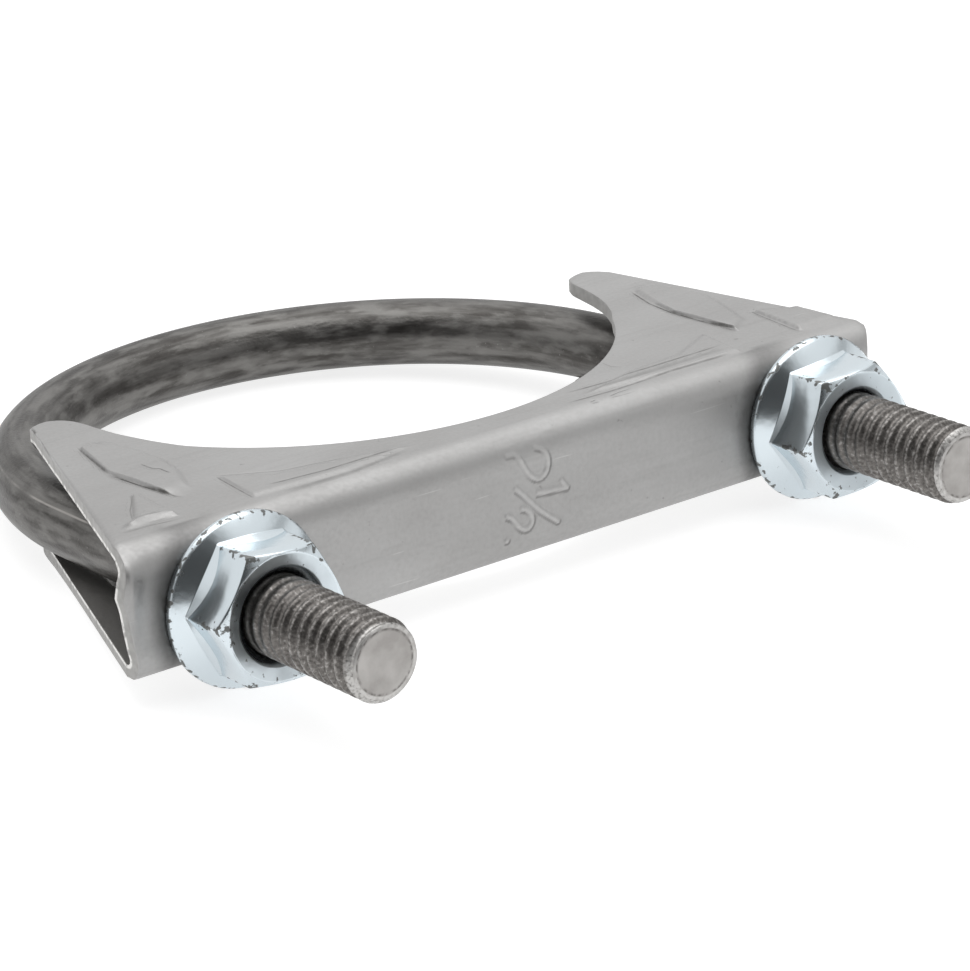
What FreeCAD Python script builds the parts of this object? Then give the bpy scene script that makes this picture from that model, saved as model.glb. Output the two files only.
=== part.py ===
import FreeCAD, Part
import os
import Sketcher

# Saddle clamp for an exhaust joint: a bent U-bolt, a folded channel saddle and two hex flange nuts.
# The origin is the centre of the bow, on the axis of the pipe that it holds.
# X runs across the two legs, Y from the saddle towards the far side of the bow, Z along the pipe.

SIZES = [
    ("bow_inner_radius", 31.75, "half of a 2 1/2 inch pipe, which the bow touches"),
    ("rod_diameter", 7.3, "rolled blank of the U-bolt, thinner than its thread"),
    ("leg_length", 51.0, "centre of the bow to the end of a leg"),
    ("thread_major", 7.94, "5/16 inch, 18 turns to the inch"),
    ("thread_length", 33.0, "threaded stretch at the end of each leg"),
    ("end_chamfer", 0.55, "bevel on the end of each leg"),
    ("saddle_stand", 28.65, "centre of the bow to the outer face of the web, as assembled"),
    ("sheet_thickness", 1.5, "steel sheet of the saddle"),
    ("bend_radius", 3.0, "outer radius of the two folds along the web"),
    ("room_below", 0.23, "clear height between a leg and the lower flange"),
    ("room_above", 2.23, "clear height between a leg and the upper flange"),
    ("hole_clearance", 0.05, "least gap between a leg and the edge of its hole"),
    ("neck_depth", 6.5, "outer face of the web to the bottom of the seat"),
    ("seat_clearance", 0.15, "seat radius beyond that of the pipe"),
    ("horn_reach", 38.05, "outer face of the web to the tips of the horns"),
    ("left_foot_inset", 6.3, "left leg axis to the foot of its horn, where its inner edge leaves the seat"),
    ("right_foot_inset", 5.75, "right leg axis to the foot of its horn, in the same way"),
    ("left_horn_inset", 4.5, "left leg axis to the inner edge at the horn tip"),
    ("right_horn_inset", 1.8, "right leg axis to the inner edge at the horn tip"),
    ("left_end_overhang", 12.9, "left leg axis to the end of the web, as cropped"),
    ("right_end_overhang", 9.6, "right leg axis to the end of the web, as cropped"),
    ("left_tip_inset", 1.1, "left leg axis to the outer edge at the horn tip"),
    ("right_tip_overhang", 1.8, "right leg axis to the outer edge at the horn tip"),
    ("left_tip_inner_round", 2.7, "inner corner of the left horn tip"),
    ("right_tip_inner_round", 1.6, "inner corner of the right horn tip"),
    ("left_tip_outer_round", 0.9, "outer corner of the left horn tip"),
    ("right_tip_outer_round", 2.4, "outer corner of the right horn tip"),
    ("left_lens_inset", 1.5, "left leg axis in to the middle of its lens bead"),
    ("right_lens_overhang", 0.1, "right leg axis out to the middle of its lens bead"),
    ("lens_from_web", 18.6, "outer face of the web to the middle of a lens bead"),
    ("lens_half_length", 10.2, "middle of a lens bead to its point"),
    ("lens_half_width", 2.9, "middle of a lens bead to its side"),
    ("lens_height", 0.5, "how far a lens bead stands out"),
    ("lens_wall_angle", 60.0, "slope of the walls of a lens bead, from upright, in degrees"),
    ("wedge_inset", 5.2, "leg axis in to the wide end of a wedge bead, which tapers towards the middle"),
    ("wedge_from_web", 3.4, "outer face of the web to the long side of a wedge"),
    ("wedge_length", 19.5, "along the fold"),
    ("wedge_depth", 7.3, "away from the fold, at the wide end"),
    ("wedge_height", 0.35, "how far a wedge stands out"),
    ("wedge_wall_angle", 50.0, "slope of the walls of a wedge, from upright, in degrees"),
    ("gusset_from_leg", 2.6, "leg axis to the upright side of a corner gusset"),
    ("gusset_from_web", 4.9, "outer face of the web to the long side of a gusset"),
    ("gusset_length", 5.6, "along the fold"),
    ("gusset_depth", 7.6, "away from the fold"),
    ("gusset_height", 0.45, "how far a gusset stands out"),
    ("gusset_wall_angle", 50.0, "slope of the walls of a gusset, from upright, in degrees"),
    ("nut_across_flats", 12.7, "half inch spanner"),
    ("nut_height", 7.0, "bearing face to outer face"),
    ("nut_flange_diameter", 17.2, "washer face of the nut"),
    ("nut_flange_rim", 0.85, "straight rim of the washer face"),
    ("nut_flange_cone", 2.25, "height at which the cone of the flange meets the hexagon"),
    ("nut_top_circle", 12.5, "diameter of the flat ring on the outer face of the hexagon"),
    ("nut_corner_bevel", 0.75, "drop of the bevel from that ring to the hexagon's corners"),
    ("nut_countersink", 0.9, "width and depth of the bevel at each mouth"),
    ("nut_dish_circle", 12.2, "diameter of the shallow dish in the outer face"),
    ("nut_dish_depth", 0.42, "outer face down to the countersink of the bore"),
    ("thread_clearance", 0.05, "between the crests of the leg and the bore of the nut"),
    ("left_nut_angle", -4.0, "how far the left hexagon is turned, in degrees"),
    ("right_nut_angle", 5.0, "how far the right hexagon is turned, in degrees"),
    ("cutting_margin", 1.0, "how far a cutting outline stands beyond the metal"),
]

DERIVED = [
    ("rod_radius", "=rod_diameter / 2"),
    ("thread_radius", "=thread_major / 2"),
    ("leg_axis", "=bow_inner_radius + rod_radius"),
    ("saddle_bottom", "=thread_radius + room_below + sheet_thickness"),
    ("saddle_top", "=thread_radius + room_above + sheet_thickness"),
    ("saddle_middle", "=(saddle_top - saddle_bottom) / 2"),
    ("hole_radius", "=thread_radius + saddle_middle + hole_clearance"),
    ("seat_radius", "=bow_inner_radius + seat_clearance"),
    ("seat_centre", "=seat_radius + neck_depth - saddle_stand"),
    ("left_foot", "=leg_axis - left_foot_inset"),
    ("right_foot", "=leg_axis - right_foot_inset"),
    ("left_horn", "=leg_axis - left_horn_inset"),
    ("right_horn", "=leg_axis - right_horn_inset"),
    ("tip_line", "=horn_reach - saddle_stand"),
    ("left_end", "=leg_axis + left_end_overhang"),
    ("right_end", "=leg_axis + right_end_overhang"),
    ("left_tip", "=leg_axis - left_tip_inset"),
    ("right_tip", "=leg_axis + right_tip_overhang"),
    ("left_lens_across", "=left_lens_inset - leg_axis"),
    ("right_lens_across", "=right_lens_overhang + leg_axis"),
    ("lens_side_radius", "=(lens_half_length ^ 2 + lens_half_width ^ 2) / (2 * lens_half_width)"),
    ("nut_flat_radius", "=nut_across_flats / 2"),
    ("nut_corner_radius", "=nut_flat_radius / cos(30)"),
    ("nut_bevel_slope", "=nut_corner_bevel / (nut_corner_radius - nut_top_circle / 2)"),
    ("nut_bore_radius", "=thread_radius + thread_clearance"),
]

PARTS_FOLDER = "parts"

document = FreeCAD.newDocument("exhaust_clamp")
sheet = document.addObject("Spreadsheet::Sheet", "Sizes")


def fill_sheet():
    """One row a size: its name, its value under that alias, and what it means."""
    row = 1
    for name, value, meaning in SIZES:
        sheet.set("A%d" % row, name)
        sheet.set("B%d" % row, str(value))
        sheet.setAlias("B%d" % row, name)
        sheet.set("C%d" % row, meaning)
        row += 1
    for name, formula in DERIVED:
        sheet.set("A%d" % row, name)
        sheet.set("B%d" % row, formula)
        sheet.setAlias("B%d" % row, name)
        row += 1
    document.recompute()


def bind(feature, **formulas):
    """Bind each named property to a formula of the sheet's sizes."""
    for name, formula in formulas.items():
        feature.setExpression(name, formula)


def place(feature, x="0", y="0", z="0"):
    """Bind the feature's position; a plain zero stays as it is."""
    for axis, formula in (("x", x), ("y", y), ("z", z)):
        if formula != "0":
            feature.setExpression("Placement.Base." + axis, formula)


def turn(feature, axis, angle):
    feature.Placement = FreeCAD.Placement(FreeCAD.Vector(), FreeCAD.Rotation(axis, angle))


def origin_plane(body, role):
    return [item for item in body.Origin.OriginFeatures if item.Role == role][0]


def new_sketch(body, name, role):
    sketch = body.newObject("Sketcher::SketchObject", name)
    sketch.AttachmentSupport = [(origin_plane(body, role), "")]
    sketch.MapMode = "FlatFace"
    return sketch


def start_value(formula):
    """The number that a formula of the sheet gives, to draw a sketch near its solution."""
    return float(sheet.evalExpression(formula))


def pin_point(sketch, geometry, end, name, x, y):
    """Tie one end of a line or arc to a place given by two formulas."""
    for axis, formula in (("X", x), ("Y", y)):
        value = start_value(formula)
        index = sketch.addConstraint(Sketcher.Constraint("Distance" + axis, -1, 1, geometry, end, value))
        label = name + "_" + axis.lower()
        sketch.renameConstraint(index, label)
        sketch.setExpression("Constraints." + label, formula)


def draw_polygon(sketch, corners):
    """A closed outline whose corners are pairs of formulas, each tied to the sheet."""
    points = [FreeCAD.Vector(start_value(x), start_value(y), 0) for x, y in corners]
    count = len(points)
    for index in range(count):
        sketch.addGeometry(Part.LineSegment(points[index], points[(index + 1) % count]))
    for index in range(count):
        sketch.addConstraint(Sketcher.Constraint("Coincident", index, 2, (index + 1) % count, 1))
    for index in range(count):
        pin_point(sketch, index, 1, "corner_%d" % index, corners[index][0], corners[index][1])


def upright_edges(shape, places, tolerance=0.05):
    """Names of the edges along Z that stand at any of the given places in plan."""
    names = []
    for number, edge in enumerate(shape.Edges, start=1):
        ends = [vertex.Point for vertex in edge.Vertexes]
        if len(ends) != 2 or abs(ends[0].z - ends[1].z) < tolerance:
            continue
        if abs(ends[0].x - ends[1].x) > tolerance or abs(ends[0].y - ends[1].y) > tolerance:
            continue
        for x, y in places:
            if abs(ends[0].x - x) < tolerance and abs(ends[0].y - y) < tolerance:
                names.append("Edge%d" % number)
    return names


def long_edges(shape, places, tolerance=0.05):
    """Names of the edges along X that run at any of the given places in section."""
    names = []
    for number, edge in enumerate(shape.Edges, start=1):
        ends = [vertex.Point for vertex in edge.Vertexes]
        if len(ends) != 2 or abs(ends[0].x - ends[1].x) < tolerance:
            continue
        for y, z in places:
            if all(abs(end.y - y) < tolerance and abs(end.z - z) < tolerance for end in ends):
                names.append("Edge%d" % number)
    return names


def make_u_bolt():
    """A straight rod bent round a half circle, with both ends rolled to a larger thread."""
    body = document.addObject("PartDesign::Body", "u_bolt")
    body.Label = "u_bolt"
    leg = start_value("leg_axis")
    length = start_value("leg_length")

    path = new_sketch(body, "rod_path", "XY_Plane")
    path.addGeometry(Part.LineSegment(FreeCAD.Vector(leg, -length, 0), FreeCAD.Vector(leg, 0, 0)))
    bow = Part.Arc(FreeCAD.Vector(leg, 0, 0), FreeCAD.Vector(0, leg, 0), FreeCAD.Vector(-leg, 0, 0))
    path.addGeometry(bow)
    path.addGeometry(Part.LineSegment(FreeCAD.Vector(-leg, 0, 0), FreeCAD.Vector(-leg, -length, 0)))
    path.addConstraint(Sketcher.Constraint("Coincident", 0, 2, 1, 1))
    path.addConstraint(Sketcher.Constraint("Coincident", 1, 2, 2, 1))
    path.addConstraint(Sketcher.Constraint("Coincident", 1, 3, -1, 1))
    pin_point(path, 0, 1, "right_foot", "Sizes.leg_axis", "-Sizes.leg_length")
    pin_point(path, 0, 2, "right_shoulder", "Sizes.leg_axis", "0")
    path.addConstraint(Sketcher.Constraint("PointOnObject", 2, 1, -1))
    pin_point(path, 2, 2, "left_foot", "-Sizes.leg_axis", "-Sizes.leg_length")

    section = new_sketch(body, "rod_section", "XZ_Plane")
    section.addGeometry(Part.Circle(FreeCAD.Vector(leg, 0, 0), FreeCAD.Vector(0, 0, 1), 3.0))
    pin_point(section, 0, 3, "middle", "Sizes.leg_axis", "0")
    radius = section.addConstraint(Sketcher.Constraint("Radius", 0, 3.0))
    section.renameConstraint(radius, "rod_radius")
    section.setExpression("Constraints.rod_radius", "Sizes.rod_radius")
    section.setExpression("AttachmentOffset.Base.z", "Sizes.leg_length")
    document.recompute()

    rod = body.newObject("PartDesign::AdditivePipe", "bent_rod")
    rod.Profile = section
    rod.Spine = path
    document.recompute()

    for side, position in (("right", "Sizes.leg_axis"), ("left", "-Sizes.leg_axis")):
        thread = body.newObject("PartDesign::AdditiveCylinder", side + "_thread")
        turn(thread, FreeCAD.Vector(1, 0, 0), -90)
        bind(thread, Radius="Sizes.thread_radius", Height="Sizes.thread_length")
        place(thread, x=position, y="-Sizes.leg_length")
        document.recompute()

    threaded_rod = body.Tip
    bevel = body.newObject("PartDesign::Chamfer", "end_bevels")
    ends = []
    for number, edge in enumerate(threaded_rod.Shape.Edges, start=1):
        box = edge.BoundBox
        if box.YMax - box.YMin < 0.01 and abs(box.YMin + length) < 0.01:
            ends.append("Edge%d" % number)
    bevel.Base = (threaded_rod, ends)
    bind(bevel, Size="Sizes.end_chamfer")
    document.recompute()
    return body


def draw_lens(sketch, ends, radius):
    """A pointed outline of two arcs from end to end, both of the radius that a formula gives."""
    first, last = [FreeCAD.Vector(start_value(x), start_value(y), 0) for x, y in ends]
    middle = (first + last) / 2
    half = (last - first) / 2
    bow = start_value(radius)
    rise = bow - (bow ** 2 - half.Length ** 2) ** 0.5
    aside = FreeCAD.Vector(-half.y, half.x, 0).normalize() * rise
    sketch.addGeometry(Part.Arc(first, middle - aside, last))
    sketch.addGeometry(Part.Arc(last, middle + aside, first))
    sketch.addConstraint(Sketcher.Constraint("Coincident", 0, 2, 1, 1))
    sketch.addConstraint(Sketcher.Constraint("Coincident", 1, 2, 0, 1))
    pin_point(sketch, 0, 1, "first_end", ends[0][0], ends[0][1])
    pin_point(sketch, 0, 2, "last_end", ends[1][0], ends[1][1])
    for number in (0, 1):
        index = sketch.addConstraint(Sketcher.Constraint("Radius", number, bow))
        label = "side_radius_%d" % number
        sketch.renameConstraint(index, label)
        sketch.setExpression("Constraints." + label, radius)


def press_bead(body, stage, side, name, draw, height, angle):
    """One bead of a flange: its outer half stands on the sheet, its inner half is sunk behind it."""
    level = "Sizes.saddle_top" if side == "upper" else "Sizes.saddle_bottom"
    if stage == "inner":
        level += " - Sizes.sheet_thickness"
    full_name = "%s_%s_%s" % (side, name, stage)
    outline = new_sketch(body, full_name + "_outline", "XY_Plane")
    outline.setExpression("AttachmentOffset.Base.z", level if side == "upper" else "-(%s)" % level)
    draw(outline)
    document.recompute()
    kind = "PartDesign::Pad" if stage == "outer" else "PartDesign::Pocket"
    bead = body.newObject(kind, full_name)
    bead.Profile = outline
    bead.Reversed = (side == "lower") == (stage == "outer")
    bind(bead, Length=height, TaperAngle="-" + angle)
    document.recompute()


def three_corners(sign, upright, way, name):
    """A right-angled bead: an upright side at one place across, and a long side beside the fold."""
    foot = "Sizes.%s_from_web - Sizes.saddle_stand" % name
    return [
        ("%s(%s)" % (sign, upright), foot),
        ("%s(%s %s Sizes.%s_length)" % (sign, upright, way, name), foot),
        ("%s(%s)" % (sign, upright), "%s + Sizes.%s_depth" % (foot, name)),
    ]


def press_beads(body, stage):
    """All pressed beads, on the upper and the lower flange alike."""
    web = "-Sizes.saddle_stand"
    lens_middle = web + " + Sizes.lens_from_web"
    lens_ends = (lens_middle + " - Sizes.lens_half_length", lens_middle + " + Sizes.lens_half_length")
    for side in ("upper", "lower"):
        for hand, sign in (("left", "-"), ("right", "")):
            across = "Sizes.%s_lens_across" % hand
            ends = [(across, lens_ends[0]), (across, lens_ends[1])]
            press_bead(
                body, stage, side, hand + "_lens",
                lambda sketch: draw_lens(sketch, ends, "Sizes.lens_side_radius"),
                "Sizes.lens_height", "Sizes.lens_wall_angle",
            )
            gusset = three_corners(sign, "Sizes.leg_axis + Sizes.gusset_from_leg", "+", "gusset")
            press_bead(
                body, stage, side, hand + "_gusset",
                lambda sketch: draw_polygon(sketch, gusset),
                "Sizes.gusset_height", "Sizes.gusset_wall_angle",
            )
            wedge = three_corners(sign, "Sizes.leg_axis - Sizes.wedge_inset", "-", "wedge")
            press_bead(
                body, stage, side, hand + "_wedge",
                lambda sketch: draw_polygon(sketch, wedge),
                "Sizes.wedge_height", "Sizes.wedge_wall_angle",
            )


def cut_outline(body, name, corners):
    """Take away what lies inside an outline drawn in plan, through both flanges."""
    sketch = new_sketch(body, name + "_outline", "XY_Plane")
    draw_polygon(sketch, corners)
    document.recompute()
    cut = body.newObject("PartDesign::Pocket", name)
    cut.Profile = sketch
    cut.Type = "ThroughAll"
    cut.Midplane = True
    document.recompute()


def pin_value(sketch, kind, name, formula, *where):
    """One size of a sketch, such as a radius or a distance along X, tied to the sheet."""
    index = sketch.addConstraint(Sketcher.Constraint(kind, *where, start_value(formula)))
    sketch.renameConstraint(index, name)
    sketch.setExpression("Constraints." + name, formula)


def cut_seat(body):
    """The round seat for the pipe, and the inner edges of the two horns that stand on either side of it."""
    centre = start_value("seat_centre")
    radius = start_value("seat_radius")
    tip = start_value("tip_line")
    mouth = start_value("tip_line + cutting_margin")
    sides = []
    for side, sign in (("left", -1), ("right", 1)):
        foot = start_value(side + "_foot")
        horn = start_value(side + "_horn")
        foot_y = centre - (radius ** 2 - foot ** 2) ** 0.5
        sides.append([(sign * foot, foot_y), (sign * horn, tip), (sign * horn, mouth)])
    left, right = [[FreeCAD.Vector(x, y, 0) for x, y in side] for side in sides]
    sketch = new_sketch(body, "seat_outline", "XY_Plane")
    sketch.addGeometry(Part.Arc(left[0], FreeCAD.Vector(0, centre - radius, 0), right[0]))
    corners = right + left[::-1]
    for first, second in zip(corners, corners[1:]):
        sketch.addGeometry(Part.LineSegment(first, second))
    lines = len(corners) - 1
    for index in range(lines):
        sketch.addConstraint(Sketcher.Constraint("Coincident", index, 2, index + 1, 1))
    sketch.addConstraint(Sketcher.Constraint("Coincident", lines, 2, 0, 1))
    pin_value(sketch, "Radius", "seat_radius", "Sizes.seat_radius", 0)
    pin_point(sketch, 0, 3, "seat_middle", "0", "Sizes.seat_centre")
    pin_value(sketch, "DistanceX", "right_foot_x", "Sizes.right_foot", -1, 1, 0, 2)
    pin_value(sketch, "DistanceX", "left_foot_x", "-Sizes.left_foot", -1, 1, 0, 1)
    pin_point(sketch, 1, 2, "right_tip_corner", "Sizes.right_horn", "Sizes.tip_line")
    pin_point(sketch, 2, 2, "right_mouth", "Sizes.right_horn", "Sizes.tip_line + Sizes.cutting_margin")
    pin_point(sketch, 3, 2, "left_mouth", "-Sizes.left_horn", "Sizes.tip_line + Sizes.cutting_margin")
    pin_point(sketch, 4, 2, "left_tip_corner", "-Sizes.left_horn", "Sizes.tip_line")
    document.recompute()
    cut = body.newObject("PartDesign::Pocket", "seat")
    cut.Profile = sketch
    cut.Type = "ThroughAll"
    cut.Midplane = True
    document.recompute()


def round_edges(body, name, edges, radius):
    """A fillet on the named edges of the body as it stands."""
    unrounded = body.Tip
    fillet = body.newObject("PartDesign::Fillet", name)
    fillet.Base = (unrounded, edges)
    bind(fillet, Radius=radius)
    document.recompute()


def make_saddle():
    """One sheet folded to a channel: a web with a hole for each leg, and two shaped flanges."""
    body = document.addObject("PartDesign::Body", "saddle")
    body.Label = "saddle"
    stand = start_value("saddle_stand")
    top = start_value("saddle_top")
    bottom = start_value("saddle_bottom")
    thickness = start_value("sheet_thickness")

    block = body.newObject("PartDesign::AdditiveBox", "folded_outside")
    bind(
        block,
        Length="Sizes.left_end + Sizes.right_end",
        Width="Sizes.horn_reach",
        Height="Sizes.saddle_top + Sizes.saddle_bottom",
    )
    place(block, x="-Sizes.left_end", y="-Sizes.saddle_stand", z="-Sizes.saddle_bottom")
    document.recompute()
    folds = long_edges(body.Shape, [(-stand, top), (-stand, -bottom)])
    round_edges(body, "outer_bends", folds, "Sizes.bend_radius")
    press_beads(body, "outer")

    hollow = body.newObject("PartDesign::SubtractiveBox", "channel_hollow")
    bind(
        hollow,
        Length="Sizes.left_end + Sizes.right_end",
        Width="Sizes.horn_reach",
        Height="Sizes.saddle_top + Sizes.saddle_bottom - 2 * Sizes.sheet_thickness",
    )
    place(
        hollow,
        x="-Sizes.left_end",
        y="Sizes.sheet_thickness - Sizes.saddle_stand",
        z="Sizes.sheet_thickness - Sizes.saddle_bottom",
    )
    document.recompute()
    inside = [(thickness - stand, top - thickness), (thickness - stand, thickness - bottom)]
    folds = long_edges(body.Shape, inside)
    round_edges(body, "inner_bends", folds, "Sizes.bend_radius - Sizes.sheet_thickness")
    press_beads(body, "inner")

    cut_seat(body)
    for side, sign in (("left", "-"), ("right", "")):
        end = "%sSizes.%s_end" % (sign, side)
        tip = "%sSizes.%s_tip" % (sign, side)
        beyond = "%s(Sizes.%s_end + Sizes.cutting_margin)" % (sign, side)
        corners = [
            (end, "-Sizes.saddle_stand"),
            (tip, "Sizes.tip_line"),
            (beyond, "Sizes.tip_line"),
            (beyond, "-Sizes.saddle_stand"),
        ]
        cut_outline(body, side + "_outer_edge", corners)

    tip_line = start_value("tip_line")
    for side, sign in (("left", -1), ("right", 1)):
        for edge, size in (("inner", "_horn"), ("outer", "_tip")):
            corner = (sign * start_value(side + size), tip_line)
            name = "%s_tip_%s" % (side, edge)
            round_edges(body, name + "_corner", upright_edges(body.Shape, [corner]), "Sizes.%s_round" % name)

    for side, position in (("left", "-Sizes.leg_axis"), ("right", "Sizes.leg_axis")):
        hole = body.newObject("PartDesign::SubtractiveCylinder", side + "_hole")
        turn(hole, FreeCAD.Vector(1, 0, 0), -90)
        bind(hole, Radius="Sizes.hole_radius", Height="2 * Sizes.sheet_thickness")
        place(hole, x=position, y="-Sizes.saddle_stand - Sizes.sheet_thickness / 2", z="Sizes.saddle_middle")
        document.recompute()
    return body


def make_flange_nut(side, sign, angle):
    """A hex nut with a conical flange, made from the bearing face at its own origin upwards."""
    body = document.addObject("PartDesign::Body", "flange_nut_" + side)
    body.Label = "flange_nut_" + side

    hexagon = body.newObject("PartDesign::AdditivePrism", side + "_hexagon")
    hexagon.Polygon = 6
    bind(hexagon, Circumradius="Sizes.nut_corner_radius", Height="Sizes.nut_height")
    hexagon.setExpression("Placement.Rotation.Angle", angle)
    document.recompute()

    bevel = new_sketch(body, side + "_corner_bevel", "XZ_Plane")
    inside = "Sizes.nut_top_circle / 2"
    outside = "Sizes.nut_corner_radius + Sizes.cutting_margin"
    foot = "Sizes.nut_height - Sizes.nut_corner_bevel - Sizes.cutting_margin * Sizes.nut_bevel_slope"
    above = "Sizes.nut_height + Sizes.cutting_margin"
    corners = [
        (inside, "Sizes.nut_height"),
        (outside, foot),
        (outside, above),
        (inside, above),
    ]
    draw_polygon(bevel, corners)
    document.recompute()
    groove = body.newObject("PartDesign::Groove", side + "_bevelled_corners")
    groove.Profile = bevel
    groove.ReferenceAxis = (bevel, ["V_Axis"])
    groove.Angle = 360
    document.recompute()

    profile = new_sketch(body, side + "_flange_profile", "XZ_Plane")
    rim = "Sizes.nut_flange_diameter / 2"
    corners = [
        ("Sizes.thread_radius", "0"),
        (rim, "0"),
        (rim, "Sizes.nut_flange_rim"),
        ("Sizes.nut_flat_radius", "Sizes.nut_flange_cone"),
        ("Sizes.thread_radius", "Sizes.nut_flange_cone"),
    ]
    draw_polygon(profile, corners)
    document.recompute()
    flange = body.newObject("PartDesign::Revolution", side + "_flange")
    flange.Profile = profile
    flange.ReferenceAxis = (profile, ["V_Axis"])
    flange.Angle = 360
    document.recompute()

    bore = body.newObject("PartDesign::SubtractiveCylinder", side + "_bore")
    bind(bore, Radius="Sizes.nut_bore_radius", Height="Sizes.nut_height")
    document.recompute()
    mouth = "Sizes.nut_bore_radius + Sizes.nut_countersink"
    lower = body.newObject("PartDesign::SubtractiveCone", side + "_lower_mouth")
    bind(lower, Radius1=mouth, Radius2="Sizes.nut_bore_radius", Height="Sizes.nut_countersink")
    document.recompute()
    upper = body.newObject("PartDesign::SubtractiveCone", side + "_upper_mouth")
    bind(upper, Radius1="Sizes.nut_bore_radius", Radius2=mouth, Height="Sizes.nut_countersink")
    place(upper, z="Sizes.nut_height - Sizes.nut_dish_depth - Sizes.nut_countersink")
    document.recompute()
    dish = body.newObject("PartDesign::SubtractiveCone", side + "_dish")
    bind(dish, Radius1=mouth, Radius2="Sizes.nut_dish_circle / 2", Height="Sizes.nut_dish_depth")
    place(dish, z="Sizes.nut_height - Sizes.nut_dish_depth")
    document.recompute()

    turn(body, FreeCAD.Vector(1, 0, 0), 90)
    place(body, x="%sSizes.leg_axis" % sign, y="-Sizes.saddle_stand")
    document.recompute()
    return body


def check_and_write(bodies):
    """Stop on any failed object, then write each sub-part under its own name."""
    document.recompute()
    for item in document.Objects:
        if "Invalid" in item.State or "Error" in item.State:
            raise RuntimeError("%s failed: %s" % (item.Name, item.State))
    os.makedirs(PARTS_FOLDER, exist_ok=True)
    for body in bodies:
        shape = body.Shape
        if shape.isNull() or not shape.isValid() or len(shape.Solids) != 1:
            raise RuntimeError("%s is not one valid solid" % body.Label)
    for body in bodies:
        body.Shape.exportStep("%s/%s.step" % (PARTS_FOLDER, body.Label))


fill_sheet()
u_bolt = make_u_bolt()
saddle = make_saddle()
left_nut = make_flange_nut("left", "-", "Sizes.left_nut_angle")
right_nut = make_flange_nut("right", "", "Sizes.right_nut_angle")
check_and_write([u_bolt, saddle, left_nut, right_nut])
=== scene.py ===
import math

import bmesh
import bpy
import numpy as np
from mathutils import Matrix, Vector


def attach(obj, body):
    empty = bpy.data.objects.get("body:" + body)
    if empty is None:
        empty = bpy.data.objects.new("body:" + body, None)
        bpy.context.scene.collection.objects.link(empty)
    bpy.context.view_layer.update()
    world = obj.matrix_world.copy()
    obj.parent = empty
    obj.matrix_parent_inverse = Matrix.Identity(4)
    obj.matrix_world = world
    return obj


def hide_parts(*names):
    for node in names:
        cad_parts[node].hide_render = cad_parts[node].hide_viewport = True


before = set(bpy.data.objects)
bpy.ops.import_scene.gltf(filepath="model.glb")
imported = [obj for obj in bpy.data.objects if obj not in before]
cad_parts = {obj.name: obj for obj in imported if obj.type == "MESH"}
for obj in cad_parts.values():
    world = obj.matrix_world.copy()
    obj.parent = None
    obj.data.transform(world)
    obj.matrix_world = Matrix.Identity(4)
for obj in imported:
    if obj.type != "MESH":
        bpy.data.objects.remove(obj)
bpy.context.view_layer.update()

# Camera: a long lens, looking down on the clamp from its front left, as in the photo.
camera_data = bpy.data.cameras.new("camera")
camera_data.lens = 153.05
camera_data.sensor_width = 36.0
camera_data.clip_start = 0.05
camera_data.clip_end = 20.0
camera = bpy.data.objects.new("camera", camera_data)
camera.matrix_world = Matrix((
    (0.79111, 0.24704, -0.55956, -0.22917),
    (-0.60911, 0.2346, -0.75759, -0.32984),
    (-0.05588, 0.94018, 0.33607, 0.13715),
    (0.0, 0.0, 0.0, 1.0),
))
bpy.context.scene.collection.objects.link(camera)
bpy.context.scene.camera = camera

# Floor: a pale matt table under the rims of both nuts and the far side of the bow.
# It is lit from beneath, so that only a faint shadow shows on it.
floor_size = 3.0
floor_point = Vector((0.0, -0.029, -0.00864))
floor_rise = 0.00496
floor_run = 0.0644
floor_tilt = math.atan2(floor_rise, floor_run)
glow_on_clamp = 0.72
glow_to_camera = 0.8
bm = bmesh.new()
bmesh.ops.create_grid(bm, x_segments=1, y_segments=1, size=floor_size / 2)
bmesh.ops.rotate(bm, cent=(0, 0, 0), matrix=Matrix.Rotation(floor_tilt, 3, "X"), verts=bm.verts)
bmesh.ops.translate(bm, vec=floor_point, verts=bm.verts)
floor_mesh = bpy.data.meshes.new("floor")
bm.to_mesh(floor_mesh)
bm.free()
floor = bpy.data.objects.new("floor", floor_mesh)
bpy.context.scene.collection.objects.link(floor)
floor_material = bpy.data.materials.new("pale_table")
floor_material.use_nodes = True
nodes = floor_material.node_tree.nodes
links = floor_material.node_tree.links
shader = nodes["Principled BSDF"]
shader.inputs["Roughness"].default_value = 0.9
shader.inputs["Specular IOR Level"].default_value = 0.0
shader.inputs["Emission Color"].default_value = (1, 1, 1, 1)
ray = nodes.new("ShaderNodeLightPath")
glow = nodes.new("ShaderNodeMix")
glow.inputs["A"].default_value = glow_on_clamp
glow.inputs["B"].default_value = glow_to_camera
links.new(ray.outputs["Is Camera Ray"], glow.inputs["Factor"])
links.new(glow.outputs["Result"], shader.inputs["Emission Strength"])
shader.inputs["Base Color"].default_value = (0.4, 0.4, 0.4, 1)
floor_mesh.materials.append(floor_material)

# World: a white tent that wraps the clamp in soft light, with a dark opening at the front left, and
# a dark room round the table, low at the back and higher at the front, which the metal reflects.
# To the camera it is plain white.
opening_way = Vector((-0.56, -0.76, 0.34)).normalized()
opening_core = math.cos(math.radians(32))
opening_rim = math.cos(math.radians(56))
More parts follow.
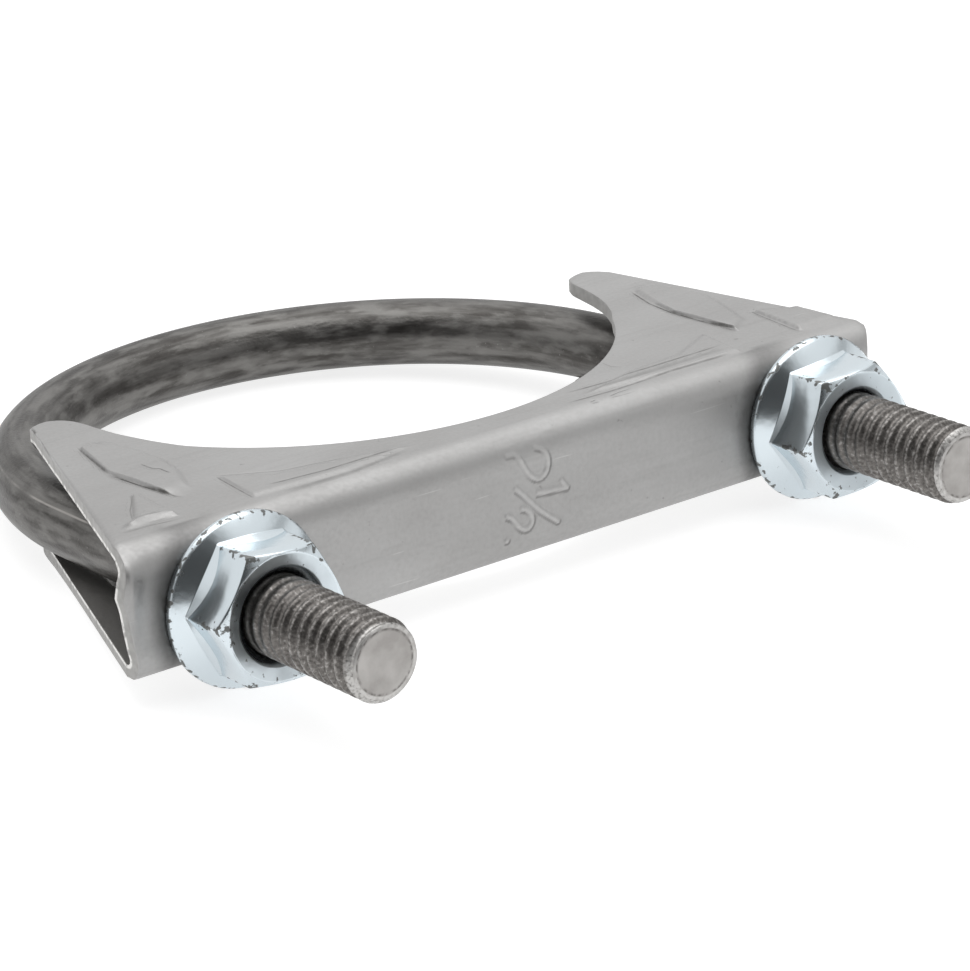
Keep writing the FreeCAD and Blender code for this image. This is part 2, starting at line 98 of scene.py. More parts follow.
# The room: where it fades from full to none, upwards and backwards, and how dark each part is.
front_top = (0.36, 0.46)
front_bottom = (0.28, 0.18)
front_depth = (0.1, 0.6)
front_dark = 0.55
back_top = (0.1, 0.22)
back_depth = (0.5, 0.0)
back_dark = 0.9
tent_light = 0.92
room_light = 0.06
world = bpy.data.worlds.new("studio")
bpy.context.scene.world = world
world.use_nodes = True
nodes = world.node_tree.nodes
links = world.node_tree.links
background = nodes["Background"]
background.inputs["Color"].default_value = (1, 1, 1, 1)
way = nodes.new("ShaderNodeTexCoord").outputs["Generated"]


def fade(value, start, end, most=1.0):
    """A soft step from its most at the start to 0 at the end."""
    step = nodes.new("ShaderNodeMapRange")
    step.interpolation_type = "SMOOTHSTEP"
    for socket, limit in zip(("From Min", "From Max", "To Min", "To Max"), (start, end, most, 0.0)):
        step.inputs[socket].default_value = limit
    links.new(value, step.inputs["Value"])
    return step.outputs["Result"]


def joined(operation, first, second):
    """Two shares put together by a product or by the larger of them."""
    node = nodes.new("ShaderNodeMath")
    node.operation = operation
    links.new(first, node.inputs[0])
    links.new(second, node.inputs[1])
    return node.outputs["Value"]


toward = nodes.new("ShaderNodeVectorMath")
toward.operation = "DOT_PRODUCT"
toward.inputs[1].default_value = opening_way
links.new(way, toward.inputs[0])
opening = fade(toward.outputs["Value"], opening_core, opening_rim)
parts = nodes.new("ShaderNodeSeparateXYZ")
links.new(way, parts.inputs["Vector"])
upward = parts.outputs["Z"]
backward = parts.outputs["Y"]
front = joined("MULTIPLY", fade(upward, *front_top), fade(upward, *front_bottom))
front = joined("MULTIPLY", front, fade(backward, *front_depth, front_dark))
back = joined("MULTIPLY", fade(upward, *back_top), fade(backward, *back_depth, back_dark))
dark = joined("MAXIMUM", joined("MAXIMUM", opening, front), back)
ray = nodes.new("ShaderNodeLightPath")
seen = nodes.new("ShaderNodeMath")
seen.operation = "SUBTRACT"
seen.inputs[0].default_value = 1.0
links.new(ray.outputs["Is Camera Ray"], seen.inputs[1])
tent = nodes.new("ShaderNodeMapRange")
tent.inputs["To Min"].default_value = tent_light
tent.inputs["To Max"].default_value = room_light
links.new(joined("MULTIPLY", dark, seen.outputs["Value"]), tent.inputs["Value"])
links.new(tent.outputs["Result"], background.inputs["Strength"])

# Lamp: one wide soft box overhead, a little behind the clamp.
lamp_place = Vector((0.1, 0.0, 1.1))
lamp_data = bpy.data.lights.new("overhead", "AREA")
lamp_data.shape = "SQUARE"
lamp_data.size = 1.3
lamp_data.energy = 6.5
lamp = bpy.data.objects.new("overhead", lamp_data)
lamp.location = lamp_place
lamp.rotation_mode = "QUATERNION"
lamp.rotation_quaternion = (-lamp_place).to_track_quat("-Z", "Y")
bpy.context.scene.collection.objects.link(lamp)

# Saddle: one steel sheet, blanked with two holes, pressed with beads and its size number, and
# folded to a channel with a round seat for the pipe between its horns. It is shaped flat first,
# in mm, x across and w along its section from flange to flange, and then folded.
sheet = 1.5
web_y = -28.65
web_middle = 1.0
web_half = 3.7
fold_radius = 3.0
fold_length = fold_radius * math.pi / 2
flange_start = web_half + fold_length
flange_foot = web_y + fold_radius
seat_centre = 9.75
seat_radius = 31.9
# The tops of the horns and the seat between them, in x and y, from left to right. The tip of the
# left horn lies a little further in on the lower flange.
lower_tip_shift = 0.25
left_horn = [
    (-34.97, 7.55), (-34.72, 8.7), (-33.8, 9.26), (-32.85, 9.4), (-31.76, 8.8), (-30.9, 7.84),
    (-30.53, 7.0), (-30.26, 5.8), (-30.12, 4.34), (-29.95, 2.97), (-29.6, 0.6), (-28.98, -1.65),
    (-28.45, -3.48), (-27.85, -5.12),
]
right_horn = [
    (28.9, -4.6), (30.1, -2.4), (31.0, -0.2), (31.65, 2.2), (32.1, 4.4), (32.5, 6.4), (33.2, 8.0),
    (34.3, 8.9), (35.7, 9.2), (36.8, 8.6), (37.6, 7.4), (37.85, 6.4),
]
seat_turns = np.radians(np.linspace(212.2, 328.9, 86))
seat = [(seat_radius * math.cos(turn), seat_centre + seat_radius * math.sin(turn)) for turn in seat_turns]
top_line = np.array(left_horn + seat + right_horn)
top_places = np.concatenate(([0.0], np.cumsum(np.hypot(*np.diff(top_line, axis=0).T))))
# The ends of the sheet in x, at places along w.
left_places = [-flange_start, -5.6, -1.5, 0.7, 2.1, 3.9, 6.2, flange_start]
left_ends = [-46.7, -47.0, -47.6, -47.85, -48.2, -47.8, -47.25, -46.97]
right_places = [-flange_start, -5.6, -2.5, 3.7, 4.75, 5.66, 6.31, 7.14, flange_start]
right_ends = [44.4, 43.8, 43.25, 43.2, 43.36, 43.73, 44.06, 44.35, 44.6]
# The grid is closer along the cut edges, for their rounds. Its rows run from the top of the lower
# flange over the web to the top of the upper one: the side, how far up the flange, and w at its foot.
even_columns = 120
flange_rows = 24
fold_rows = 7
web_rows = 15
near_edge = [0.0, 0.0012, 0.0035, 0.0065]
columns = near_edge + list(np.linspace(0.01, 0.99, even_columns))
columns += [1 - share for share in reversed(near_edge)]
climbs = list(np.linspace(0, 0.93, flange_rows)) + [0.955, 0.975, 0.988, 0.996, 1.0]
fold_places = fold_length * np.arange(1, fold_rows) / fold_rows
rows = [(-1, rise, -flange_start) for rise in reversed(climbs)]
rows += [(0, 0, -flange_start + place) for place in fold_places]
rows += [(0, 0, w) for w in np.linspace(-web_half, web_half, web_rows)]
rows += [(0, 0, web_half + place) for place in fold_places]
rows += [(1, rise, flange_start) for rise in climbs]

bm = bmesh.new()
bmesh.ops.create_grid(bm, x_segments=len(columns) - 1, y_segments=len(rows) - 1, size=1)
inset_layer = bm.verts.layers.float.new("inset")
for vert in bm.verts:
    across = columns[round((vert.co.x + 1) / 2 * (len(columns) - 1))]
    side, rise, w = rows[round((vert.co.y + 1) / 2 * (len(rows) - 1))]
    left = np.interp(w, left_places, left_ends)
    right = np.interp(w, right_places, right_ends)
    x = left + across * (right - left)
    inset = min(across, 1 - across) * (right - left)
    if side:
        tip_x = np.interp(across * top_places[-1], top_places, top_line[:, 0])
        tip_y = np.interp(across * top_places[-1], top_places, top_line[:, 1])
        if side < 0 and tip_x < -seat_radius:
            tip_x += lower_tip_shift
        x += rise * (tip_x - x)
        w += side * rise * (tip_y - flange_foot)
        inset = min(inset, (1 - rise) * (tip_y - flange_foot))
    vert.co = (x, w, 0)
    vert[inset_layer] = inset

# The two round holes for the legs, with the ragged rim of the grid drawn to their circle.
hole_radius = 5.02
ragged_rim = 1.0
leg_axis = 35.4
for leg_x in (-leg_axis, leg_axis):
    middle = Vector((leg_x, 0, 0))
    inside = [face for face in bm.faces if (face.calc_center_median() - middle).length < hole_radius]
    bmesh.ops.delete(bm, geom=inside, context="FACES")
    for vert in bm.verts:
        out = vert.co - middle
        if vert.is_boundary and out.length < hole_radius + ragged_rim:
            vert.co = middle + out.normalized() * hole_radius

# Beads on a flange: the corners of each outline in x and y, the width of each of its walls, and its
# height. One side of most beads is sheared almost upright, and the others run out softly. This
# relief starts a little within the fold.
relief_start = flange_start - 1
beads = [
    ([(-34.7, -0.4), (-36.8, -9.0), (-36.3, -12.8), (-36.0, -17.0), (-35.9, -19.0), (-35.0, -20.0),
      (-33.4, -18.9), (-31.4, -14.1), (-30.6, -9.4), (-31.0, -4.6), (-31.8, -0.8), (-33.2, 0.0)],
     [0.18, 0.15, 0.15, 0.2, 2.2, 2.6, 1.1, 0.8, 0.8, 0.8, 0.9, 0.8], 0.36),
    ([(35.0, -0.9), (33.5, -6.4), (32.9, -9.8), (33.2, -13.8), (33.5, -19.9), (36.6, -17.4),
      (38.1, -12.6), (39.2, -8.4), (39.0, -4.6), (38.0, -0.9), (36.4, -0.3)],
     [0.25, 0.2, 0.16, 0.16, 0.9, 0.9, 0.6, 0.6, 0.8, 0.8, 0.8], 0.38),
    ([(-38.9, -16.0), (-37.8, -16.5), (-38.2, -20.3), (-38.3, -23.8), (-40.4, -23.0), (-45.3, -23.3),
      (-42.1, -21.4), (-40.7, -19.1)], [0.5, 0.5, 0.5, 0.45, 0.45, 0.8, 0.5, 0.5], 0.4),
    ([(38.7, -15.9), (41.0, -17.2), (43.2, -18.6), (43.6, -24.2), (37.8, -24.5), (38.3, -20.5)],
     [0.35, 0.35, 0.7, 0.9, 0.3, 0.3], 0.35),
    ([(-29.9, -17.3), (-30.7, -25.0), (-20.0, -25.6), (-10.5, -23.9), (-17.4, -22.1), (-25.3, -21.0)],
     [0.3, 1.0, 1.0, 0.8, 0.8, 0.8], 0.22),
    ([(30.3, -17.7), (23.9, -21.0), (17.0, -21.6), (8.5, -24.2), (20.0, -25.5), (29.2, -25.3)],
     [0.8, 0.8, 0.8, 1.0, 1.0, 0.3], 0.22),
]
# Marks of the press, creases at the foot of the sheared walls and wider bands beside them, painted
# dark as grime and as the shade that falls in them: the line and half width of each, the length over
# which it thins out towards its ends, and how dark it is.
creases = [
    ([(-34.6, 0.2), (-36.8, -9.2)], 0.07, 1.6, 0.8),
    ([(-36.8, -9.2), (-36.4, -13.6), (-35.7, -19.0), (-35.2, -20.0)], 0.1, 2.2, 1.0),
    ([(34.8, -0.6), (33.4, -5.4), (32.9, -9.6), (33.1, -14.0), (33.7, -19.6)], 0.09, 1.4, 0.9),
    ([(-38.1, -16.2), (-38.5, -20.3), (-38.6, -23.6)], 0.06, 1.5, 0.45),
    ([(-38.8, -16.4), (-40.9, -19.2), (-42.2, -21.6)], 0.06, 1.0, 0.5),
    ([(-39.2, -22.6), (-41.0, -22.0), (-44.2, -22.7)], 0.07, 1.0, 0.4),
    ([(-38.6, -24.6), (-41.7, -24.0), (-45.2, -23.9)], 0.14, 2.0, 0.4),
    ([(43.2, -18.4), (38.7, -15.8), (38.1, -20.4), (37.6, -24.6)], 0.06, 1.5, 0.6),
    ([(8.4, -26.2), (9.5, -26.0)], 0.06, 0.4, 0.7),
    ([(10.9, -26.2), (12.5, -25.9), (14.0, -25.9)], 0.06, 0.6, 0.6),
    ([(17.2, -17.2), (17.1, -19.0), (17.7, -20.0)], 0.05, 0.6, 0.5),
    ([(-29.9, -17.0), (-30.8, -25.0)], 0.07, 1.2, 0.7),
    ([(-30.2, -16.8), (-24.6, -20.4), (-17.6, -21.9)], 0.06, 1.6, 0.45),
    ([(-28.5, -23.2), (-21.9, -23.9), (-13.0, -23.7)], 0.14, 2.0, 0.6),
    ([(-28.0, -25.6), (-20.0, -25.7), (-12.5, -24.4)], 0.3, 2.5, 0.35),
    ([(30.3, -17.7), (29.2, -25.3)], 0.06, 2.0, 0.6),
    ([(29.3, -22.4), (20.2, -22.6), (14.9, -22.6), (8.0, -22.3)], 0.16, 3.0, 0.6),
    ([(28.5, -24.9), (17.8, -24.9), (12.6, -25.1), (5.9, -24.8)], 0.14, 3.0, 0.6),
    ([(29.0, -23.6), (18.5, -23.7), (9.0, -23.6)], 0.35, 3.0, 0.3),
    ([(-33.5, -9.5), (-33.4, -11.4), (-32.9, -12.2), (-32.9, -14.1)], 0.08, 0.8, 0.75),
    ([(-35.5, 5.8), (-38.8, -2.8)], 0.04, 2.0, 0.6),
]
# The size number, in strokes that stand out from the web, in x and z, turned a quarter to the right.
number = [
    [(-3.75, 5.8), (-2.8, 5.8), (-2.3, 5.0), (-1.75, 3.9), (-1.0, 2.85), (-0.15, 2.45), (0.7, 2.8),
     (1.1, 3.7), (1.05, 4.65), (0.5, 5.5), (-0.25, 5.8)],
    [(-0.4, 1.05), (3.2, 0.75), (2.6, 1.6)],
    [(-3.05, 2.15), (-2.1, 1.3), (-0.8, -0.2), (0.2, -1.15), (1.85, -2.4)],
    [(-4.3, -0.35), (-3.6, -0.7), (-3.05, -1.65), (-2.3, -2.25), (-1.65, -2.2), (-1.2, -1.6),
     (-1.3, -0.8), (-1.95, -0.15), (-2.4, -0.05)],
    [(-4.5, -2.8), (-4.47, -2.8)],
]
stroke_half = 0.1
stroke_wall = 0.36
stroke_height = 0.09
# Dents of careless handling: their middles in x and w, their reach each way, and their height,
# under 0 where they go in.
dents = [
    (-47.1, 6.6, 1.0, 1.0, -0.32), (-45.1, 5.0, 0.5, 0.5, -0.08), (-47.2, 3.0, 0.55, 2.6, 0.3),
    (-46.1, -1.4, 1.0, 2.6, -0.14), (-45.9, -4.4, 1.2, 1.2, 0.1),
]


def beside(x, y, line):
    """Distance of each point from a line of straight runs, under 0 on its right, and from its ends."""
    off = np.full(len(x), 99.0)
    along = np.zeros(len(x))
    start = 0.0
    for (ax, ay), (bx, by) in zip(line, line[1:]):
        run = math.hypot(bx - ax, by - ay)
        share = np.clip(((x - ax) * (bx - ax) + (y - ay) * (by - ay)) / run ** 2, 0, 1)
        across = (y - ay) * (bx - ax) - (x - ax) * (by - ay)
        distance = np.hypot(x - ax - share * (bx - ax), y - ay - share * (by - ay))
        nearer = distance < np.abs(off)
        off = np.where(nearer, np.copysign(distance, across), off)
        along = np.where(nearer, start + share * run, along)
        start += run
    return off, np.minimum(along, start - along)


def nearest(x, y, line):
    """Distance of each point from a line of straight runs."""
    return np.abs(beside(x, y, line)[0])


def climb(x, y, outline, widths):
    """How far up a bead's walls each point is: 0 at their foot, 1 and more on top, under 0 outside."""
    closed = outline + outline[:1]
    steps = np.full(len(x), 99.0)
    crossings = np.zeros(len(x), int)
    for (ax, ay), (bx, by), width in zip(closed, closed[1:], widths):
        steps = np.minimum(steps, nearest(x, y, [(ax, ay), (bx, by)]) / width)
        if by != ay:
            crossings += ((ay > y) != (by > y)) & (x < ax + (y - ay) / (by - ay) * (bx - ax))
    return np.where(crossings % 2 == 1, steps, -steps)


def ease(steps):
    """A soft step from 0 to 1."""
    steps = np.clip(steps, 0, 1)
    return steps * steps * (3 - 2 * steps)


def rounded(line):
    """The same line with its corners cut."""
    points = [line[0]]
    for (ax, ay), (bx, by) in zip(line, line[1:]):
        for near, far in ((0.75, 0.25), (0.25, 0.75)):
            points.append((near * ax + far * bx, near * ay + far * by))
    return points + [line[-1]]


# The strokes of more than three points are the round ones.
number = [rounded(rounded(line)) if len(line) > 3 else line for line in number]

# A finer mesh in two rounds: under the beads, creases and strokes of both flanges and the web, and a
# finer one still along the creases of the upper flange and the strokes. For each round: how far it
# reaches beside a crease and beside a stroke, the longest edge that it leaves, and whether it takes
# in both flanges.
fine_rounds = [(0.8, 0.9, 0.36, True), (0.3, 0.6, 0.2, False)]
outside_wall = -0.3
inside_wall = 1.2
for crease_reach, stroke_reach, longest, both_flanges in fine_rounds:
    bm.faces.ensure_lookup_table()
    centres = np.array([face.calc_center_median()[:2] for face in bm.faces])
    x, w = centres.T
    y = flange_foot + np.abs(w) - flange_start
    on_flange = (np.abs(w) > relief_start) if both_flanges else (w > relief_start)
    fine = np.zeros(len(x), bool)
    for line in number:
        fine |= nearest(x, w + web_middle, line) < stroke_reach
    for line, *_ in creases:
        fine |= on_flange & (nearest(x, y, line) < crease_reach)
    if both_flanges:
        for outline, widths, _ in beads:
            steps = climb(x, y, outline, [1.0] * len(widths))
            fine |= on_flange & (steps > outside_wall) & (steps < inside_wall)
    edges = {edge for face, chosen in zip(bm.faces, fine) if chosen for edge in face.edges}
    edges = [edge for edge in edges if edge.calc_length() > longest]
    bmesh.ops.subdivide_edges(bm, edges=edges, cuts=2, use_grid_fill=True)
    bmesh.ops.triangulate(bm, faces=[face for face in bm.faces if len(face.verts) > 4])

# The sheet's thickness, in three steps from its inner side outwards, so that its cut walls stay flat
# between their rims. The faces left between two steps are taken out.
rim = 0.12
inner_faces = bm.faces[:]
level = inner_faces
for step in (rim, sheet - 2 * rim, rim):
    grown = bmesh.ops.extrude_face_region(bm, geom=level)["geom"]
    if level is not inner_faces:
        bmesh.ops.delete(bm, geom=level, context="FACES_ONLY")
    level = [part for part in grown if isinstance(part, bmesh.types.BMFace)]
    raised = [part for part in grown if isinstance(part, bmesh.types.BMVert)]
    bmesh.ops.translate(bm, vec=(0, 0, step), verts=raised)
bmesh.ops.recalc_face_normals(bm, faces=bm.faces)
# The cut walls take the second finish.
for face in bm.faces:
    face.material_index = 1 if abs(face.normal.z) < 0.5 else 0

# The press: beads, creases, rolled edges, number and dents, and then the two folds. What the finish
# needs is kept at each point of the mesh. The tops of the strokes are rubbed light and painted as a
# highlight, and painted shade lies at their foot, on the side that is turned away from the light.
crease_depth = 0.06
crease_foot = 0.325
crease_wall = 0.25
mark_reach = 0.5
# The cut edges of the outer side are rolled over a little, and more on the horns.
edge_roll = 0.05
horn_roll = 0.2
horn_start = 32.0
horn_run = 2.0
roll_width = 0.7
# How far from a stroke's middle line its rubbed top with its painted highlight and the painted shade
# at its foot lie, how soft they end, and the step away from the light that tells the one side of a
# stroke from the other.
top_reach = 0.312
top_wall = 0.24
foot_middle = 0.36
foot_reach = 0.21
foot_wall = 0.14
shade_x = 0.05
shade_w = 0.09
shade_start = 0.016
shade_wall = 0.08
# The number runs out towards the folds, and the painted shade at its foot a little before it.
number_end = 5.5
number_run = 1.7
stroke_shade_end = 5.2
stroke_shade_run = 1.2
burr_and_highlight_end = -30.0
# How far the painted shadow beside each nut reaches from its leg, and how soft it ends.
nut_shadow_reach = 11.0
nut_shadow_wall = 2.4
mark_names = ["crease", "crease_side", "inner_side", "burr_and_highlight", "nut_shadow", "stroke_top_rub_and_highlight", "stroke_foot_shade"]
mark_layers = [bm.verts.layers.float.new(name) for name in mark_names]
inset = np.array([vert[inset_layer] for vert in bm.verts])
x, w, depth = np.array([vert.co[:] for vert in bm.verts]).T
side = np.sign(w)
reach = np.abs(w)
turn = np.clip((reach - web_half) / fold_radius, 0, math.pi / 2)
y = web_y + fold_radius * (1 - np.cos(turn)) + np.clip(reach - flange_start, 0, None)
z = web_middle + side * (np.minimum(reach, web_half) + fold_radius * np.sin(turn))
on_flange = reach > relief_start
lift = np.zeros(len(x))
for outline, widths, height in beads:
    lift += on_flange * height * ease(climb(x, y, outline, widths))
# How dark each point near a crease is painted, with grime and painted shade.
crease = np.zeros(len(x))
crease_side = np.full(len(x), 9.0)
for line, half_width, thinning, darkness in creases:
    off, from_end = beside(x, y, line)
    near = on_flange & (np.abs(off) < mark_reach) & (np.abs(off) / half_width < np.abs(crease_side))
    share = darkness * ease(from_end / thinning)
    crease = np.where(near, share, crease)
    crease_side = np.where(near, off / half_width, crease_side)
    lift -= crease_depth * on_flange * share * ease((crease_foot - np.abs(off)) / crease_wall)
roll = edge_roll + horn_roll * on_flange * np.clip((np.abs(x) - horn_start) / horn_run, 0, 1)
lift -= roll * np.clip(1 - inset / roll_width, 0, 1) ** 2 * (depth > sheet / 2)
from_stroke = np.min([nearest(x, w + web_middle, line) for line in number], axis=0)
shaded = np.min([nearest(x - shade_x, w + shade_w + web_middle, line) for line in number], axis=0)
# The tops of the strokes, rubbed light and painted as a highlight, and painted shade at their foot on the
# side away from the light.
stroke_top_rub_and_highlight = ease((top_reach - from_stroke) / top_wall)
stroke_foot_shade = ease((foot_reach - np.abs(from_stroke - foot_middle)) / foot_wall)
stroke_foot_shade *= ease((shade_start + from_stroke - shaded) / shade_wall)
stroke_foot_shade *= ease((stroke_shade_end - reach) / stroke_shade_run)
stroke = ease((stroke_half + stroke_wall - from_stroke) / stroke_wall)
lift += stroke_height * ease((number_end - reach) / number_run) * stroke
for dent_x, dent_w, reach_x, reach_w, height in dents:
    lift += height * np.exp(-((x - dent_x) / reach_x) ** 2 - ((w - dent_w) / reach_w) ** 2)
over = lift + depth - sheet
y -= np.cos(turn) * over
z += side * np.sin(turn) * over
inner_side = 1 - depth / sheet
# The thin bright line of burr and painted highlight lies near the rim of the inner side, on the left.
burr_and_highlight = inner_side * (x < burr_and_highlight_end)
# Painted shadow on the sheet beside the flange of each nut, on its left.
nut_shadow = np.zeros(len(x))
for leg_x in (-leg_axis, leg_axis):
    from_leg = np.hypot(x - leg_x, z)
    leftward = np.clip((leg_x - x) / np.maximum(from_leg, 1), 0, 1)
    nut_shadow += (np.abs(w) < flange_start) * leftward * ease((nut_shadow_reach - from_leg) / nut_shadow_wall)
for vert, *spot in zip(bm.verts, x, y, z):
    vert.co = Vector(spot) / 1000
marks = (crease, crease_side, inner_side, burr_and_highlight, nut_shadow, stroke_top_rub_and_highlight, stroke_foot_shade)
for layer, values in zip(mark_layers, marks):
    for vert, value in zip(bm.verts, values):
        vert[layer] = value
bmesh.ops.recalc_face_normals(bm, faces=bm.faces)
for face in bm.faces:
    face.smooth = True
saddle_mesh = bpy.data.meshes.new("pressed_saddle")
bm.to_mesh(saddle_mesh)
bm.free()
pressed_saddle = bpy.data.objects.new("pressed_saddle", saddle_mesh)
bpy.context.scene.collection.objects.link(pressed_saddle)


def new_finish(name, metallic, roughness):
    """A metal: the material, the tree of its nodes, and its shader."""
    material = bpy.data.materials.new(name)
    material.use_nodes = True
    shader = material.node_tree.nodes["Principled BSDF"]
    shader.inputs["Metallic"].default_value = metallic
    shader.inputs["Roughness"].default_value = roughness
    return material, material.node_tree, shader


def spot_on_piece(tree):
    """The place of each point in the piece's own space."""
    return tree.nodes.new("ShaderNodeTexCoord").outputs["Object"]


def mark(tree, name, output="Fac"):
    """What the mesh keeps at its points under a name."""
    node = tree.nodes.new("ShaderNodeAttribute")
    node.attribute_name = name
    return node.outputs[output]


def grain(tree, place, scale, detail=4.0, turned=(0, 0, 0)):
    """Noise on a place, with its scale along each axis."""
    space = tree.nodes.new("ShaderNodeMapping")
    space.inputs["Scale"].default_value = scale
    space.inputs["Rotation"].default_value = turned
    tree.links.new(place, space.inputs["Vector"])
    noise = tree.nodes.new("ShaderNodeTexNoise")
    noise.inputs["Scale"].default_value = 1.0
    noise.inputs["Detail"].default_value = detail
    tree.links.new(space.outputs["Vector"], noise.inputs["Vector"])
    return noise.outputs["Fac"]


def remap(tree, value, start, end, low, high):
    """A value brought from one range to another."""
    ramp = tree.nodes.new("ShaderNodeMapRange")
    for socket, limit in zip(("From Min", "From Max", "To Min", "To Max"), (start, end, low, high)):
        ramp.inputs[socket].default_value = limit
    tree.links.new(value, ramp.inputs["Value"])
    return ramp.outputs["Result"]


def combine(tree, operation, first, second):
    """Two values put together by a sum, a product or another operation."""
    node = tree.nodes.new("ShaderNodeMath")
    node.operation = operation
    for socket, value in zip(node.inputs, (first, second)):
        if isinstance(value, float):
            socket.default_value = value
        else:
            tree.links.new(value, socket)
    return node.outputs["Value"]


def paint(tree, under, over, share):
    """One colour over another, by a share; a colour is three numbers or another node's output."""
    mix = tree.nodes.new("ShaderNodeMix")
    mix.data_type = "RGBA"
    for socket, colour in zip(("A", "B"), (under, over)):
        if isinstance(colour, tuple):
            mix.inputs[socket].default_value = (*colour, 1)
        else:
            tree.links.new(colour, mix.inputs[socket])
    tree.links.new(share, mix.inputs["Factor"])
    return mix.outputs["Result"]


def tint(tree, under, over, value, start, end, most=1.0):
    """One colour over another, from none where a value starts its range to most at its end."""
    return paint(tree, under, over, remap(tree, value, start, end, 0.0, most))


def press_in(tree, shader, height, strength, distance):
    """Small relief from a height."""
    bump = tree.nodes.new("ShaderNodeBump")
    bump.inputs["Strength"].default_value = strength
    bump.inputs["Distance"].default_value = distance
    tree.links.new(height, bump.inputs["Height"])
    tree.links.new(bump.outputs["Normal"], shader.inputs["Normal"])


# Satin rolled sheet: an even grey with faint clouds and rolling lines along x, a few thin scratches
# that catch the light, small dark pits, grime and painted shade in the creases, tops of the strokes of
# the number rubbed light and painted as a highlight with painted shade at their feet, painted shadow
# beside the nuts, and an inner side painted darker, partly a dull finish and partly painted shade.
sheet_dark = (0.385, 0.38, 0.375)
sheet_pale = (0.45, 0.447, 0.443)
rolling_line = (0.35, 0.345, 0.34)
pit_grey = (0.2, 0.195, 0.19)
scratch_pale = (0.6, 0.6, 0.59)
crease_grime_and_shade_dark = (0.1, 0.097, 0.092)
inner_dull_and_shade = (0.27, 0.263, 0.255)
rubbed_and_highlight_top = (0.52, 0.515, 0.51)
painted_stroke_shade = (0.13, 0.127, 0.123)
painted_nut_shadow = (0.06, 0.06, 0.058)
material, tree, shader = new_finish("sheet_steel", 0.85, 0.48)
place = spot_on_piece(tree)
clouds = grain(tree, place, (60, 90, 90))
rolled = grain(tree, place, (50, 1100, 1100))
fine_grain = grain(tree, place, (2200, 2200, 2200), 3.0)
first_scratch = grain(tree, place, (110, 2600, 2600), 1.0, (0.5, 0.4, 0.9))
second_scratch = grain(tree, place, (140, 2300, 2300), 1.0, (0.2, 1.0, -0.5))
scratches = combine(tree, "MAXIMUM", first_scratch, second_scratch)
pits = grain(tree, place, (900, 900, 900), 2.0)
colour = tint(tree, sheet_dark, sheet_pale, clouds, 0.3, 0.7)
colour = tint(tree, colour, rolling_line, rolled, 0.55, 0.8, 0.4)
colour = tint(tree, colour, pit_grey, pits, 0.72, 0.78, 0.5)
colour = tint(tree, colour, scratch_pale, scratches, 0.76, 0.8, 0.5)
# Grime and painted shade in the creases and the bands beside them, mottled by the pits.
off = combine(tree, "ABSOLUTE", mark(tree, "crease_side"), 0.0)
crease_grime_and_shade = combine(tree, "MULTIPLY", mark(tree, "crease"), remap(tree, off, 0.5, 1.6, 1.0, 0.0))
crease_grime_and_shade = combine(tree, "MULTIPLY", crease_grime_and_shade, remap(tree, pits, 0.35, 0.55, 0.6, 0.95))
colour = paint(tree, colour, crease_grime_and_shade_dark, crease_grime_and_shade)
# The inner side painted darker: partly a dull finish, partly painted shade inside the channel.
colour = tint(tree, colour, inner_dull_and_shade, mark(tree, "inner_side"), 0.9, 1.0, 0.9)
# Painted highlight on the rubbed tops of the strokes, and painted shade at their feet.
colour = tint(tree, colour, rubbed_and_highlight_top, mark(tree, "stroke_top_rub_and_highlight"), 0.0, 1.0, 0.6)
colour = tint(tree, colour, painted_stroke_shade, mark(tree, "stroke_foot_shade"), 0.0, 1.0, 0.62)
# Painted shadow beside the flange of each nut.
colour = tint(tree, colour, painted_nut_shadow, mark(tree, "nut_shadow"), 0.0, 1.0, 0.85)
tree.links.new(colour, shader.inputs["Base Color"])
tree.links.new(remap(tree, fine_grain, 0.3, 0.7, 0.4, 0.56), shader.inputs["Roughness"])
press_in(tree, shader, fine_grain, 0.2, 0.00003)
saddle_mesh.materials.append(material)

# Cut edges of the sheet: sheared and rougher, with a thin bright line along the rim on the left,
# partly a burr and partly a painted highlight.
cut_dark = (0.36, 0.355, 0.345)
cut_pale = (0.44, 0.435, 0.425)
burr_and_highlight_bright = (0.85, 0.84, 0.82)
material, tree, shader = new_finish("cut_edge", 0.7, 0.6)
grit = grain(tree, spot_on_piece(tree), (1100, 1100, 1100), 5.0)
colour = tint(tree, cut_dark, cut_pale, grit, 0.35, 0.65)
# A thin bright line near the rim: partly a burr, partly a painted highlight.
bright = remap(tree, mark(tree, "burr_and_highlight"), 0.68, 0.8, 0.0, 1.0)
bright = combine(tree, "MULTIPLY", bright, remap(tree, grit, 0.38, 0.5, 0.2, 1.0))
colour = paint(tree, colour, burr_and_highlight_bright, bright)
tree.links.new(colour, shader.inputs["Base Color"])
press_in(tree, shader, grit, 0.5, 0.00006)
saddle_mesh.materials.append(material)
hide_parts("saddle")
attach(pressed_saddle, "saddle")

# U-bolt: one drawn steel rod, bent round a half circle, with a right-hand thread rolled on each end
# and worn shallow where the nut has run. It is made in mm, s along its line and an angle round it.
rod_radius = 3.65
leg_length = 51.0
bow_length = math.pi * leg_axis
line_length = 2 * leg_length + bow_length
crest_radius = 3.96
# The thread: its length, the run in which it fades out, its pitch and depth, and the shares of the
# pitch that half its root and its flank take.
thread_length = 33.0
thread_fade = 2.5
pitch = 25.4 / 18
thread_depth = 0.48
thread_root = 0.1
thread_flank = 0.32
# The share of its depth that is left where the nut has run, the distance from the rod's end from
# which that holds, and the run before it in which the depth goes down.
worn_share = 0.4
worn_from = 13.8
worn_run = 4.5
